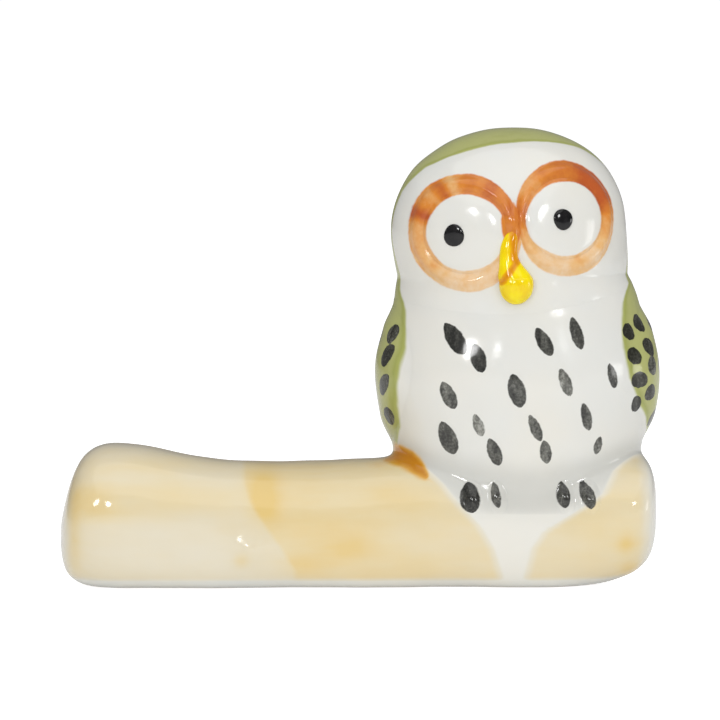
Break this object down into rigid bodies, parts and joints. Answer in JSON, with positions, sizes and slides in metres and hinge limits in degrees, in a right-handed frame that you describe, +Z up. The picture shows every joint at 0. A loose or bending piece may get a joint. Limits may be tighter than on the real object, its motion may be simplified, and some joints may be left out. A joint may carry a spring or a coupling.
{
  "type": "owl figurine",
  "caption": "Small glazed porcelain owl sitting on one end of a short log with a dipped top and a flat foot.",
  "frame": {"origin": "centre of the footprint's bounding box, on the flat foot of the log", "axes": "+X runs along the log from its long bare end to the owl, +Z is up, and the owl's face looks along -Y"},
  "size_m": [0.0566, 0.0214, 0.043],
  "materials": {
    "log_wash": "clear-glazed porcelain with a brushed ochre wash",
    "white_glaze": "clear-glazed white porcelain",
    "wing_green": "clear-glazed porcelain, olive green underglaze",
    "rim_orange": "clear-glazed porcelain, burnt orange underglaze",
    "eye_white": "clear-glazed white porcelain",
    "pupil_black": "clear-glazed black underglaze bead",
    "beak_yellow": "clear-glazed porcelain, yellow underglaze",
    "claw_glaze": "clear-glazed porcelain, claws brushed dark grey"
  },
  "bodies": {
    "root": {"log": "log_wash", "owl_body": "white_glaze", "owl_head": "white_glaze", "wing_inner": "wing_green", "wing_outer": "wing_green", "eye_rim_inner": "rim_orange", "eye_rim_outer": "rim_orange", "eye_disc_inner": "eye_white", "eye_disc_outer": "eye_white", "pupil_inner": "pupil_black", "pupil_outer": "pupil_black", "brow_bridge": "rim_orange", "beak": "beak_yellow", "foot_inner": "claw_glaze", "foot_outer": "claw_glaze"}
  },
  "joints": []
}
